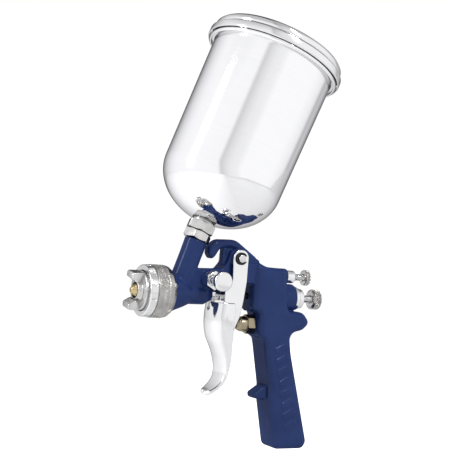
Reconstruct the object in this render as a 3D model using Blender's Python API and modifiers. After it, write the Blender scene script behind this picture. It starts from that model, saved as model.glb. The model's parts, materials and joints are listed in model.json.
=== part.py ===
"""Gravity-feed spray gun: cup, body, fluid and air parts, trigger and screws.

Frame: metres, +Z up. The needle runs along X and the nozzle points to -X. The origin
is where a rail bears inside the hook. The gun is symmetric about Y = 0, apart from
the side valve, which is on the -Y side. The sizes below are measured from the
datum, a point on the needle's axis under the feed boss.
"""

from math import acos, cos, pi, radians, sin, tan

import bmesh
import bpy
from mathutils import Matrix, Vector

MM = 0.001

# every size below is in millimetres
DATUM = (-30.65, 0.0, -30.8)

# gun body
CUP_TILT = radians(21.3)           # cup axis leans back from vertical
CUP_FOOT_X = 1.6                   # where the cup axis crosses the needle axis
HEAD_RADIUS = 14.0
BRIDGE_HALF = 7.0
HOOK_HALF = 3.4
HANDLE_HALF = 11.0
HANDLE_EDGE = 2.8
HANDLE_BOTTOM = -103.0
HANDLE_LEAN = radians(12.5)        # handle axis leans back going down
HANDLE_FOOT_X = 95.0               # handle axis at its bottom face

# front end, positions along the needle axis
RING_FRONT = -21.2
RING_BACK = -2.4
RING_RADIUS = 17.3
CAP_ROLL = radians(10.0)           # the cap's horns stand this far off vertical
NOZZLE_TIP = -28.4
NEEDLE_TIP = -29.4
NEEDLE_RADIUS = 1.25
NEEDLE_END = 70.0
PACKING_FRONT = 22.3

# trigger
PIVOT_X = 45.0
PIVOT_Z = 25.0
ARM_INNER = 9.5
ARM_SHEET = 1.6
PIN_RADIUS = 2.6

# air valve, parallel to the needle
VALVE_Z = -19.0
VALVE_FACE = 63.6                  # body face that the gland nut screws into

# rear controls
FLUID_FACE = 92.5
PATTERN_FACE = 86.5
PATTERN_Z = 14.8

# side valve, axis along -Y
SIDE_X = 24.0
SIDE_Z = 9.6
SIDE_FACE = 10.0

# air ways
GALLERY_Y = 4.9                    # the gallery passes beside the feed bore
RISER_X = 67.0
RISER_Y = 7.8                      # the riser passes beside the spring bore

# cup, distances along the cup axis
BOSS_TOP = 37.4
BOSS_RADIUS = 8.0
UNION_TOP = 43.4
DOME_TOP = 84.0
DOME_DEPTH = 33.2
RIM = 170.0
CUP_RADIUS_LOW = 41.0
CUP_RADIUS_HIGH = 43.6
CUP_WALL = 1.5

CLEARANCE = 0.3                    # between a moving part and its bore

parts = None
cutters = None


def clear_scene():
    for old in list(bpy.data.objects):
        bpy.data.objects.remove(old, do_unlink=True)


def collection(name):
    made = bpy.data.collections.new(name)
    bpy.context.scene.collection.children.link(made)
    return made


def material(name, colour, roughness, metallic):
    made = bpy.data.materials.new(name)
    made.use_nodes = True
    shader = made.node_tree.nodes["Principled BSDF"]
    shader.inputs["Base Color"].default_value = (*colour, 1.0)
    shader.inputs["Roughness"].default_value = roughness
    shader.inputs["Metallic"].default_value = metallic
    return made


# ---- placing -----------------------------------------------------------

def shifted(x, y, z):
    return Matrix.Translation((x * MM, y * MM, z * MM))


def along_needle(z=0.0):
    """Local +Z runs to the rear, along +X."""
    return shifted(0, 0, z) @ Matrix.Rotation(pi / 2, 4, "Y")


def along_cup():
    """Local +Z runs up the cup's axis."""
    return shifted(CUP_FOOT_X, 0, 0) @ Matrix.Rotation(CUP_TILT, 4, "Y")


def along_side():
    """Local +Z runs to -Y, through the side valve."""
    return shifted(SIDE_X, 0, SIDE_Z) @ Matrix.Rotation(pi / 2, 4, "X")


def along_handle():
    """Local +Z runs up the handle's axis, from its bottom face."""
    return shifted(HANDLE_FOOT_X, 0, HANDLE_BOTTOM) @ Matrix.Rotation(-HANDLE_LEAN, 4, "Y")


def side_view(y=0.0):
    """Local X and Y are the gun's X and Z, for outlines seen from the side."""
    return shifted(0, y, 0) @ Matrix.Rotation(pi / 2, 4, "X")


def across_pivot():
    """Local +Z runs to -Y, along the trigger's pin."""
    return shifted(PIVOT_X, 0, PIVOT_Z) @ Matrix.Rotation(pi / 2, 4, "X")


# ---- making ------------------------------------------------------------

def add(name, mesh, matrix, look=None, home=None):
    thing = bpy.data.objects.new(name, mesh)
    thing.matrix_world = shifted(*DATUM) @ matrix
    (home or parts).objects.link(thing)
    if look:
        mesh.materials.append(look)
    return thing


def turned(name, profile, matrix, look=None, steps=24, loop=False, home=None):
    """A turned solid. The profile holds (radius, height) in mm, down the outer side.

    With loop, the profile closes on itself and makes a ring or a tube.
    """
    mesh = bpy.data.meshes.new(name)
    count = len(profile)
    edges = [(i, i + 1) for i in range(count - 1)]
    if loop:
        edges.append((count - 1, 0))
    mesh.from_pydata([(r * MM, 0, h * MM) for r, h in profile], edges, [])
    thing = add(name, mesh, matrix, look, home)
    screw = thing.modifiers.new("turn", "SCREW")
    screw.axis = "Z"
    screw.steps = steps
    screw.render_steps = steps
    screw.use_merge_vertices = True
    screw.merge_threshold = 0.00001
    return thing


def ring_profile(inner, outer, low, high, edge=0.2):
    """A tube's section with small chamfers on its outer edges."""
    return [(inner, high), (outer - edge, high), (outer, high - edge),
            (outer, low + edge), (outer - edge, low), (inner, low)]


def rod_profile(radius, low, high, edge=0.3):
    if edge == 0:
        return [(0, high), (radius, high), (radius, low), (0, low)]
    return [(0, high), (radius - edge, high), (radius, high - edge),
            (radius, low + edge), (radius - edge, low), (0, low)]


def rod(name, radius, low, high, matrix, look=None, steps=24, edge=0.3, home=None):
    return turned(name, rod_profile(radius, low, high, edge), matrix, look, steps, home=home)


def prism(name, sides, across_flats, low, high, matrix, look=None, home=None):
    """A straight prism, such as a hexagon nut's body, from low to high."""
    mesh = bpy.data.meshes.new(name)
    shape = bmesh.new()
    bmesh.ops.create_cone(
        shape, cap_ends=True, segments=sides,
        radius1=across_flats * MM / 2 / cos(pi / sides),
        radius2=across_flats * MM / 2 / cos(pi / sides),
        depth=(high - low) * MM,
    )
    bmesh.ops.translate(shape, verts=shape.verts, vec=(0, 0, (low + high) / 2 * MM))
    shape.to_mesh(mesh)
    shape.free()
    return add(name, mesh, matrix, look, home)


def box(name, size, centre, look=None, home=None):
    mesh = bpy.data.meshes.new(name)
    shape = bmesh.new()
    bmesh.ops.create_cube(shape, size=1.0, matrix=Matrix.Diagonal((*(s * MM for s in size), 1.0)))
    shape.to_mesh(mesh)
    shape.free()
    return add(name, mesh, Matrix.Translation([c * MM for c in centre]), look, home)


def rounded(corners, step=radians(24)):
    """The outline through corners (x, y, radius) in mm, each rounded by an arc."""
    points = []
    count = len(corners)
    for i, (x, y, radius) in enumerate(corners):
        here = Vector((x, y))
        before = Vector(corners[i - 1][:2]) - here
        after = Vector(corners[(i + 1) % count][:2]) - here
        if radius <= 0:
            points.append(here)
            continue
        before.normalize()
        after.normalize()
        half = acos(max(-1.0, min(1.0, before.dot(after)))) / 2
        centre = here + (before + after).normalized() * (radius / sin(half))
        start = here + before * (radius / tan(half)) - centre
        sweep = pi - 2 * half
        turn = 1 if start.x * (here - centre).y - start.y * (here - centre).x > 0 else -1
        pieces = max(1, round(sweep / step))
        for k in range(pieces + 1):
            spin = Matrix.Rotation(turn * sweep * k / pieces, 2)
            points.append(centre + spin @ start)
    return points


def to_mesh(thing):
    """Turns a curve object into a welded mesh object of the same name."""
    bpy.context.view_layer.update()
    mesh = bpy.data.meshes.new_from_object(thing.evaluated_get(bpy.context.evaluated_depsgraph_get()))
    shape = bmesh.new()
    shape.from_mesh(mesh)
    bmesh.ops.remove_doubles(shape, verts=shape.verts, dist=0.00001)
    bmesh.ops.dissolve_limit(shape, angle_limit=radians(1), verts=shape.verts, edges=shape.edges)
    bmesh.ops.recalc_face_normals(shape, faces=shape.faces)
    shape.to_mesh(mesh)
    shape.free()
    name = thing.name
    home = thing.users_collection[0]
    matrix = thing.matrix_world.copy()
    bpy.data.objects.remove(thing, do_unlink=True)
    made = bpy.data.objects.new(name, mesh)
    made.matrix_world = matrix
    home.objects.link(made)
    return made


def plate(name, corners, half, matrix, look=None, edge=0.0, home=None):
    """A flat outline with thickness, its two rims rounded by edge. Sizes in mm."""
    curve = bpy.data.curves.new(name, "CURVE")
    curve.dimensions = "2D"
    curve.fill_mode = "BOTH"
    curve.extrude = half * MM
    outline = rounded(corners)
    spline = curve.splines.new("POLY")
    spline.points.add(len(outline) - 1)
    for point, place in zip(spline.points, outline):
        point.co = (place.x * MM, place.y * MM, 0, 1)
    spline.use_cyclic_u = True
    made = to_mesh(add(name, curve, matrix, None, home))
    if edge:
        rim = made.modifiers.new("rim", "BEVEL")
        rim.width = edge * MM
        rim.segments = 1 if edge < 1 else 2
        rim.limit_method = "ANGLE"
        rim.angle_limit = radians(50)
        rim.use_clamp_overlap = False
    if look:
        made.data.materials.clear()
        made.data.materials.append(look)
    return made


def wire(name, points, radius, matrix, look=None, cyclic=False, home=None):
    """A round wire through points in metres."""
    curve = bpy.data.curves.new(name, "CURVE")
    curve.dimensions = "3D"
    curve.bevel_depth = radius * MM
    curve.bevel_resolution = 0
    curve.use_fill_caps = not cyclic
    spline = curve.splines.new("POLY")
    spline.points.add(len(points) - 1)
    for point, place in zip(spline.points, points):
        point.co = (*place, 1)
    spline.use_cyclic_u = cyclic
    made = to_mesh(add(name, curve, matrix, None, home))
    if look:
        made.data.materials.append(look)
    return made


def coil(name, radius, wire_radius, low, high, turns, matrix, look):
    """A compression spring with its ends closed, from low to high in mm."""
    per_turn = 7
    count = int(turns * per_turn)
    points = []
    for i in range(count + 1):
        part = i / count
        rise = min(1.0, max(0.0, (part * turns - 0.8) / (turns - 1.6)))
        angle = 2 * pi * part * turns
        height = low + wire_radius + (high - low - 2 * wire_radius) * (0.94 * rise + 0.06 * part)
        points.append((radius * cos(angle) * MM, radius * sin(angle) * MM, height * MM))
    return wire(name, points, wire_radius, matrix, look)


def combine(thing, other, operation):
    """Joins or cuts with another object, which stays as a hidden tool."""
    for home in list(other.users_collection):
        home.objects.unlink(other)
    cutters.objects.link(other)
    other.hide_render = True
    other.display_type = "WIRE"
    step = thing.modifiers.new(operation.lower(), "BOOLEAN")
    step.operation = operation
    step.solver = "EXACT"
    step.object = other


def join(thing, *others):
    for other in others:
        combine(thing, other, "UNION")


def cut(thing, *others):
    for other in others:
        combine(thing, other, "DIFFERENCE")


def weld(thing):
    """Closes the hairline steps that a long chain of Booleans leaves."""
    step = thing.modifiers.new("weld", "WELD")
    step.merge_threshold = 0.00002


# ---- body --------------------------------------------------------------

def handle_shape():
    corners = [
        (57.4, 24.8, 3), (67, 20.6, 12), (82.6, 20.2, 4.2), (86.3, -8.6, 3),
        (98.5, -8.8, 7), (104.6, -16, 4.2), (99, -21.2, 5), (88.6, -24, 8), (91.2, -38, 25),
        (108.6, -98.5, 5), (105.5, -103, 4.2), (82.6, -103, 4.2), (75, -68, 10), (75, -60, 10),
        (68.4, -28.6, 3.2), (63.6, -25.6, 3.2), (63.6, -10.5, 3.2), (57.4, -9, 3.2),
    ]
    return plate("gun_body", corners, HANDLE_HALF, side_view(), edge=HANDLE_EDGE)


def hook_shape():
    corners = [
        (24.0, 23.8, 1), (24.0, 36.2, 8), (41.4, 36.9, 11), (61.2, 25.2, 0), (61.2, 12, 0),
        (33.1, 12, 0), (33.1, 30.8, 2.2), (28.2, 30.8, 2.2), (28.2, 23.8, 1),
    ]
    return plate("hook", corners, HOOK_HALF, side_view(), edge=0.6)


def bridge_shape():
    corners = [
        (6, 16.2, 0), (31, 17.4, 6), (38, 24, 6), (40, 30.4, 3), (50, 30.4, 3), (61.7, 24.5, 0),
        (61.7, 8.6, 0), (50, 8, 3), (36, 5, 8), (6, 4, 0),
    ]
    return plate("bridge", corners, BRIDGE_HALF, side_view(), edge=1.2)


def gun_body(look):
    body = handle_shape()
    body.data.materials.append(look)
    axis = along_needle()
    head = turned("head", [
        (0, 29), (4.6, 29), (5.8, 26.5), (7.2, 24), (7.4, 13), (9.7, 8), (12.2, 1.5),
        (13.4, -1.2), (HEAD_RADIUS, -2), (HEAD_RADIUS, -15.2), (0, -15.2),
    ], axis, steps=28)
    join(
        body, bridge_shape(), hook_shape(), head,
        spur_shape(),
        turned("feed_boss", [
            (0, BOSS_TOP), (BOSS_RADIUS - 0.4, BOSS_TOP), (BOSS_RADIUS, BOSS_TOP - 0.4), (BOSS_RADIUS, 22),
            (8.6, 14), (8.6, 4), (0, 4),
        ], along_cup()),
        turned("pivot_boss", rod_profile(5.6, -9.2, 9.2), across_pivot(), steps=24),
        turned("fluid_boss", rod_profile(9.8, 70, FLUID_FACE, 0.8), axis),
        turned("pattern_boss", rod_profile(5.4, 70, PATTERN_FACE, 0.6), along_needle(z=PATTERN_Z), steps=24),
        turned("valve_boss", rod_profile(8.2, VALVE_FACE, 80, 0.6), along_needle(z=VALVE_Z), steps=24),
        turned("side_boss", rod_profile(6.2, 0, SIDE_FACE, 0.5), along_side(), steps=24),
        box("neck", (11.2, 18, 13.4), (56.8, 0, 15.6)),
        box("nose_rib", (10, 7, 7), (62.5, 0, -6.5)),
    )
    cut(
        body,
        rod("cap_chamber", 11.8, -16, -8.5, axis, steps=32, edge=0),
        rod("nozzle_bore", 6.3, -9, -2.7, axis, steps=20, edge=0),
        rod("paint_bore", 2.6, -3.5, 23, axis, steps=16, edge=0),
        rod("packing_bore", 3.6, PACKING_FRONT - CLEARANCE, 30, axis, steps=16, edge=0),
        turned("feed_bore", [(0, 38), (4.2, 38), (4.2, 27.4), (3.0, 27.3), (3.0, 0.5), (0, 0.5)],
               along_cup(), steps=16),
        turned("barrel_bore", [
            (0, 94), (6.8, 94), (6.8, 84), (5.6, 83), (5.6, 61), (2.4, 60), (2.4, 54), (0, 54),
        ], axis, steps=24),
        turned("pattern_bore", [(0, 88), (3.6, 88), (3.6, 76), (1.9, 75), (1.9, 56), (0, 56)],
               along_needle(z=PATTERN_Z), steps=16),
        turned("valve_bore", rod_profile(5.6, 60, 86.5, 0), along_needle(z=VALVE_Z), steps=20),
        turned("handle_bore", [(0, 85), (3.4, 84), (3.4, 16), (6.6, 15.9), (6.6, -6), (0, -6)],
               along_handle(), steps=20),
        turned("pin_bore", rod_profile(PIN_RADIUS + CLEARANCE, -12, 12, 0), across_pivot(), steps=20),
        turned("side_bore", [(0, 12), (4.1, 12), (4.1, 4), (1.6, 3.9), (1.6, -5), (0, -5)],
               along_side(), steps=16),
        *air_galleries(),
    )
    weld(body)
    return body


def spur_shape():
    corners = [(80, -57, 0), (75.2, -58.5, 3), (65.4, -66.6, 1.4), (78, -72.5, 6), (82, -73, 0)]
    return plate("spur", corners, 6.5, side_view(), edge=0.9)


def drilled(name, radius, start, end):
    """A round cutter from one point to another, in mm."""
    way = Vector(end) - Vector(start)
    turn = way.to_track_quat("Z", "Y").to_matrix().to_4x4()
    return turned(name, rod_profile(radius, 0, way.length, 0), shifted(*start) @ turn, steps=12)


def air_galleries():
    """Drilled ways from the valve up to the pattern bore and forward to the air cap."""
    high = 11.2
    return (
        drilled("riser", 1.2, (RISER_X, RISER_Y, VALVE_Z - 1.6), (RISER_X, RISER_Y, PATTERN_Z + 1.6)),
        drilled("low_link", 1.0, (RISER_X, 0, VALVE_Z), (RISER_X, RISER_Y, VALVE_Z)),
        drilled("high_link", 1.0, (RISER_X, 0, PATTERN_Z), (RISER_X, RISER_Y, PATTERN_Z)),
        drilled("gallery_link", 1.0, (RISER_X, GALLERY_Y - 1.5, high), (RISER_X, RISER_Y, high)),
        drilled("gallery", 1.0, (-9.6, GALLERY_Y, 9.0), (RISER_X, GALLERY_Y, high)),
    )


def air_inlet_bushing(look):
    """The threaded insert in the handle's foot, flush with its lower end."""
    return turned("air_inlet_bushing", ring_profile(4.9, 6.3, 1.9, 15.6), along_handle(), look, 18, loop=True)


# ---- front end ---------------------------------------------------------

def fluid_nozzle(look):
    axis = along_needle()
    nozzle = turned("fluid_nozzle", [
        (2.3, -3.2), (5.6, -3.2), (5.9, -3.5), (5.9, -9.9), (9.6, -10.1), (9.6, -12), (6.8, -12.1),
        (6.8, -13.8), (5.9, -17), (4.7, -20), (4.6, -26), (1.6, NOZZLE_TIP), (0.9, NOZZLE_TIP), (0.9, -27.2),
        (2.3, -23),
    ], axis, look, 16, loop=True)
    flats = prism("nozzle_flats", 6, 11.4, -17, -13.7, axis)
    cut(flats, rod("flats_bore", 4.2, -18, -13, axis, steps=20, edge=0))
    join(nozzle, flats)
    return nozzle


def nozzle_seal(look):
    return turned("nozzle_seal", ring_profile(6.3, 9.4, -9.8, -8.8, 0.1), along_needle(), look, 16, loop=True)


def air_distributor(look):
    axis = along_needle()
    ring = turned("air_distributor", ring_profile(7.2, 11.4, -13.6, -12.3), axis, look, 24, loop=True)
    for i in range(6):
        spin = Matrix.Rotation(2 * pi * (i + 0.37) / 6, 4, "Z") @ Matrix.Translation((9.3 * MM, 0, 0))
        cut(ring, rod(f"distributor_hole_{i}", 1.0, -15, -11, axis @ spin, steps=6, edge=0))
    weld(ring)
    return ring


def air_cap(look):
    roll = Matrix.Rotation(CAP_ROLL, 4, "X")
    cap = turned("air_cap", [
        (11.2, -16.9), (14.0, -16.9), (14.0, -19.0), (12.9, -19.0), (12.9, -22.1), (12.4, -22.6),
        (7.4, -22.9), (6.2, -25.4), (5.2, -25.6), (5.2, -21.4), (8.6, -20.2), (11.2, -19.4),
    ], roll @ along_needle(), look, 24, loop=True)
    horn = [(-21.6, 5.8, 0), (-21.6, 12.4, 0), (-30.4, 12.2, 1.4), (-30.4, 8.4, 0.8), (-26.4, 5.8, 0.8)]
    for name, side in (("horn_top", 1), ("horn_bottom", -1)):
        flip = Matrix.Diagonal((1, side, side, 1))
        join(cap, plate(name, horn, 4.0, roll @ flip @ side_view(), edge=0.5))
    return cap


def cap_snap_ring(look):
    """An open wire clip that holds the air cap inside the retaining ring."""
    span = radians(330)
    points = []
    for i in range(21):
        angle = span * (i / 20 - 0.5)
        points.append((14.6 * cos(angle) * MM, 14.6 * sin(angle) * MM, -16.1 * MM))
    return wire("cap_snap_ring", points, 0.45, along_needle(), look)


def retaining_ring(look):
    return turned("retaining_ring", [
        (14.3, RING_BACK), (15, RING_BACK), (16.7, -4.6), (RING_RADIUS, -7.2), (RING_RADIUS, -15.2),
        (16.8, -15.8), (16.3, -20.4), (15.5, RING_FRONT), (13.3, RING_FRONT), (13.3, -19.3), (14.3, -19.3),
        (14.3, -16.8),
        (15.3, -16.7), (15.3, -15.5), (14.3, -15.4),
    ], along_needle(), look, 28, loop=True)


def fluid_needle(look):
    return turned("fluid_needle", [
        (0, NEEDLE_END), (NEEDLE_RADIUS - 0.2, NEEDLE_END), (NEEDLE_RADIUS, NEEDLE_END - 0.3),
        (NEEDLE_RADIUS, 68), (5.1, 68), (5.1, 66.6), (NEEDLE_RADIUS, 66.5), (NEEDLE_RADIUS, -23.5),
        (0.3, NEEDLE_TIP + 0.2), (0, NEEDLE_TIP),
    ], along_needle(), look, 20)


def needle_collar(look):
    return turned("needle_collar", [
        (NEEDLE_RADIUS + CLEARANCE, 57), (1.8, 57), (2.0, 56.8), (2.0, 50.8), (3.2, 50.7), (3.2, 49.4),
        (NEEDLE_RADIUS + CLEARANCE, 49.4),
    ], along_needle(), look, 16, loop=True)


def needle_packing(look):
    section = ring_profile(NEEDLE_RADIUS + CLEARANCE, 3.3, PACKING_FRONT + 0.1, 28.7)
    return turned("needle_packing", section, along_needle(), look, 16, loop=True)


def packing_nut(look):
    axis = along_needle()
    nut = prism("packing_nut", 6, 6.6, 31.2, 34.4, axis, look)
    join(nut, rod("packing_nut_collar", 3.7, 29.4, 31.6, axis, steps=20))
    cut(nut, rod("packing_nut_bore", NEEDLE_RADIUS + CLEARANCE, 28, 36, axis, steps=16, edge=0))
    return nut


# ---- rear controls -----------------------------------------------------

def needle_spring(look):
    return coil("needle_spring", 4.7, 0.45, 68.3, 84.1, 6.5, along_needle(), look)


def fluid_bushing(look):
    return turned("fluid_bushing", [
        (2.9, 100.2), (6.8, 100.2), (7.3, 99.7), (8.1, FLUID_FACE + 0.3), (6.5, FLUID_FACE + 0.3),
        (6.5, 84.4), (2.9, 84.4),
    ], along_needle(), look, 24, loop=True)


def fluid_stem(look):
    return rod("fluid_stem", 2.6, 75.4, 113.4, along_needle(), look, 20)


def knob(name, radius, low, high, bore, floor, matrix, look):
    """A round knob with a blind hole from its low end, for its stem."""
    made = rod(name, radius, low, high, matrix, look, 24, 0.6)
    cut(made, rod(f"{name}_bore", bore, low - 1, floor, matrix, steps=16, edge=0))
    return made


def fluid_knob(look):
    return knob("fluid_knob", 7.0, 108.4, 115.0, 2.9, 113.8, along_needle(), look)


def pattern_bushing(look):
    return turned("pattern_bushing", [
        (2.6, 93.3), (3.9, 93.3), (4.4, 92.8), (4.4, PATTERN_FACE + 0.3), (3.3, PATTERN_FACE + 0.2),
        (3.3, 76.5), (2.6, 76.5),
    ], along_needle(z=PATTERN_Z), look, 24, loop=True)


def pattern_stem(look):
    return turned("pattern_stem", [
        (0, 104), (2.0, 104), (2.3, 103.7), (2.3, 78), (1.5, 76), (1.5, 62), (0.6, 60), (0, 60),
    ], along_needle(z=PATTERN_Z), look, 20)


def pattern_knob(look):
    return knob("pattern_knob", 5.4, 101.4, 105.4, 2.6, 104.4, along_needle(z=PATTERN_Z), look)


# ---- side valve --------------------------------------------------------

def side_bushing(look):
    axis = along_side()
    bushing = prism("side_bushing", 6, 11.0, SIDE_FACE + 0.3, 16.2, axis, look)
    join(bushing, rod("side_bushing_shank", 3.8, 4.3, 11, axis, steps=20))
    cut(bushing, rod("side_bushing_bore", 2.3, 3, 18, axis, steps=16, edge=0))
    return bushing


def side_stem(look):
    return turned("side_stem", [
        (0, 26.4), (1.7, 26.4), (2.0, 26.1), (2.0, 4.8), (1.2, 4.0), (1.2, -2.4), (0, -3),
    ], along_side(), look, 16)


def side_knob(look):
    axis = along_side()
    made = turned("side_knob", [
        (0, 28.6), (5.8, 28.6), (6.3, 28.1), (6.3, 25.0), (5.8, 24.5), (4.0, 24.4), (3.8, 18.6), (0, 18.6),
    ], axis, look, 24)
    cut(made, rod("side_knob_bore", 2.3, 18, 26.9, axis, steps=16, edge=0))
    return made


# ---- air valve ---------------------------------------------------------

def air_valve_nut(look):
    axis = along_needle(z=VALVE_Z)
    nut = turned("air_valve_nut", [
        (0, 66), (5.3, 66), (5.3, VALVE_FACE - 0.4), (5.2, 57.0), (2.8, 49.0), (2.4, 48.6), (0, 48.6),
    ], axis, look, 24)
    join(nut, prism("valve_nut_flats", 6, 11.6, 57.2, VALVE_FACE - CLEARANCE, axis))
    cut(nut, rod("valve_nut_bore", 1.9, 47, 67, axis, steps=16, edge=0))
    return nut


def air_valve_packing(look):
    section = ring_profile(1.9, 5.2, 66.3, 68)
    return turned("air_valve_packing", section, along_needle(z=VALVE_Z), look, 16, loop=True)


def air_valve_seat(look):
    section = ring_profile(2.2, 5.3, 68.3, 70.2)
    return turned("air_valve_seat", section, along_needle(z=VALVE_Z), look, 16, loop=True)


def air_valve_stem(look):
    return turned("air_valve_stem", [
        (0, 72.8), (4.2, 72.8), (4.4, 72.6), (4.4, 71.2), (3.4, 70.6), (1.6, 70.6), (1.6, 33.6),
        (1.2, 32.8), (0, 32.6),
    ], along_needle(z=VALVE_Z), look, 16)


def air_valve_spring(look):
    return coil("air_valve_spring", 4.0, 0.4, 73.1, 86.2, 6, along_needle(z=VALVE_Z), look)


# ---- trigger -----------------------------------------------------------

# Blade sections from top to toe: height, front edge, half width, depth of the
# rounded front and rear edge of the side walls, in mm.
BLADE = (
    (-5.0, 31.2, 10.9, 8.0, 42.5),
    (-12.0, 30.4, 10.9, 8.0, 43.0),
    (-21.0, 30.6, 10.9, 8.0, 42.6),
    (-29.0, 32.6, 10.9, 7.6, 42.6),
    (-36.0, 36.2, 10.7, 5.8, 43.0),
    (-43.0, 39.2, 10.4, 3.4, 43.4),
    (-50.0, 40.7, 9.6, 1.8, 42.9),
    (-56.0, 40.0, 8.6, 1.2, 41.4),
    (-61.0, 36.9, 7.6, 0.8, 37.9),
    (-64.6, 32.4, 6.2, 0.5, 33.0),
)


def blade_shape():
    """The trigger's finger blade: a channel, round in front, that narrows to its toe."""
    mesh = bpy.data.meshes.new("blade")
    shape = bmesh.new()
    arc = 6
    rows = []
    for z, front, width, depth, rear in BLADE:
        row = [(rear, -width)]
        for i in range(arc + 1):
            angle = pi * (i / arc - 0.5)
            row.append((front + depth * (1 - cos(angle)), width * sin(angle)))
        row.append((rear, width))
        rows.append([shape.verts.new((x * MM, y * MM, z * MM)) for x, y in row])
    for upper, lower in zip(rows, rows[1:]):
        for i in range(len(upper) - 1):
            shape.faces.new((upper[i], lower[i], lower[i + 1], upper[i + 1]))
    shape.to_mesh(mesh)
    shape.free()
    blade = add("blade", mesh, Matrix())
    sheet = blade.modifiers.new("sheet", "SOLIDIFY")
    sheet.thickness = 1.7 * MM
    sheet.offset = -1
    sheet.use_even_offset = True
    return blade


def arm_shape(name, y):
    corners = [
        (39.3, 30.8, 5.4), (50.8, 30.8, 5.4), (50.6, 10, 20), (49, -4, 10), (47.3, -13.5, 8),
        (42.9, -24, 6), (42.4, -32, 1), (39.2, -32, 1), (38.6, -8, 3), (34.8, -6, 1.2),
        (34.8, 3.4, 1.6), (39.8, 9, 6),
    ]
    return plate(name, corners, ARM_SHEET / 2, side_view(y), edge=0.3)


def trigger(look):
    middle = ARM_INNER + ARM_SHEET / 2
    made = arm_shape("trigger", -middle)
    made.data.materials.append(look)
    join(
        made, arm_shape("far_arm", middle), blade_shape(),
        box("yoke", (1.6, 19.6, 10), (47.8, 0, 0)),
    )
    cut(
        made,
        rod("trigger_hole", PIN_RADIUS + CLEARANCE, -13, 13, across_pivot(), steps=20, edge=0),
        box("needle_slot", (4, 4.0, 10), (47.8, 0, -2.8)),
        box("tool_slot", (6, 2.2, 6), (31, 0, -6)),
        rod("tool_hole", 2.0, 26, 36, along_needle(z=-9), steps=16, edge=0),
    )
    origin_at(made, PIVOT_X, 0, PIVOT_Z)
    return made


def origin_at(thing, x, y, z):
    """Moves an object's origin and leaves its shape where it is."""
    place = (shifted(*DATUM) @ shifted(x, y, z)).translation
    shift = thing.matrix_world.inverted() @ place
    thing.data.transform(Matrix.Translation(-shift))
    thing.matrix_world = thing.matrix_world @ Matrix.Translation(shift)


def trigger_pin(look):
    return turned("trigger_pin", [
        (0, 13.2), (2.4, 13.2), (2.6, 13.0), (2.6, 12.5), (1.9, 12.4), (1.9, 11.3), (2.6, 11.2),
        (2.6, -11.4), (4.2, -11.5), (4.2, -12.8), (0, -12.8),
    ], across_pivot(), look, 20)


def e_clip(look):
    clip = turned("e_clip", ring_profile(2.2, 4.6, 11.45, 12.15, 0.1), across_pivot(), look, 24, loop=True)
    cut(clip, box("clip_opening", (6, 3, 3.4), (PIVOT_X + 4, -11.8, PIVOT_Z)))
    return clip


# ---- cup ---------------------------------------------------------------

def dome(radius, depth, hole, top, count=6):
    """The round bottom's section, from the wall down to the outlet hole."""
    end = acos(hole / radius)
    return [(radius * cos(end * i / count), top - depth * sin(end * i / count)) for i in range(count + 1)]


def cup_body(look):
    outer = dome(CUP_RADIUS_LOW, DOME_DEPTH, 8.0, DOME_TOP)
    inner = dome(CUP_RADIUS_LOW - CUP_WALL, DOME_DEPTH - CUP_WALL, 8.0, DOME_TOP)
    profile = [
        (CUP_RADIUS_HIGH - 1.4, RIM + 2.4), (45.8, RIM + 2.4), (46.5, RIM + 1.8), (46.5, RIM + 0.6),
        (45.8, RIM), (CUP_RADIUS_HIGH, RIM - 0.4),
    ]
    profile += outer
    profile += inner[::-1]
    return turned("cup_body", profile, along_cup(), look, 30, loop=True)


def cup_outlet(look):
    axis = along_cup()
    outlet = prism("cup_outlet", 6, 17.2, UNION_TOP + 0.4, 50.2, axis, look)
    join(outlet, turned("outlet_pipe", [
        (0, 54.2), (7.4, 54.2), (7.6, 54), (7.6, 49), (5.9, 44.5), (5.9, BOSS_TOP + 0.4),
        (3.9, BOSS_TOP + 0.2), (3.9, 28), (0, 28),
    ], axis, steps=24))
    cut(outlet, rod("outlet_bore", 2.9, 27, 56, axis, steps=16, edge=0))
    return outlet


def union_nut(look):
    axis = along_cup()
    nut = prism("union_nut", 6, 16.4, BOSS_TOP + 0.4, UNION_TOP, axis, look)
    cut(nut, rod("union_bore", 6.2, 36, 45, axis, steps=24, edge=0))
    return nut


def cup_strainer(look):
    return turned("cup_strainer", [
        (0, 72), (3.4, 72), (4.0, 71.4), (4.6, 55.6), (6.6, 55.6), (6.6, 54.6), (3.8, 54.6), (3.2, 71.2),
        (0, 71.2),
    ], along_cup(), look, 20)


def lid_gasket(look):
    return turned("lid_gasket", ring_profile(42.3, 45.6, 172.7, 173.7), along_cup(), look, 24, loop=True)


def cup_lid(look):
    lid = turned("cup_lid", [
        (0, 186.2), (24, 185.6), (40, 184.4), (44.4, 183.4), (46.2, 181.6), (46.4, 179.4), (45.6, 178.2),
        (46.2, 177.4), (47.8, 176.9), (48.2, 176.4), (48.2, 174.4), (47.8, 174.0), (41.7, 174.0),
        (41.7, 167.0), (40.2, 167.0), (40.2, 178), (36, 182), (24, 183.6), (0, 184.2),
    ], along_cup(), look, 30)
    cut(lid, rod("vent_hole", 2.5, 180, 190, along_cup(), steps=16, edge=0))
    return lid


def vent_plug(look):
    return turned("vent_plug", [
        (0, 190), (4.6, 190), (5.4, 189), (5.4, 186.6), (2.2, 186.5), (2.2, 183), (0, 183),
    ], along_cup(), look, 20)


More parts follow.
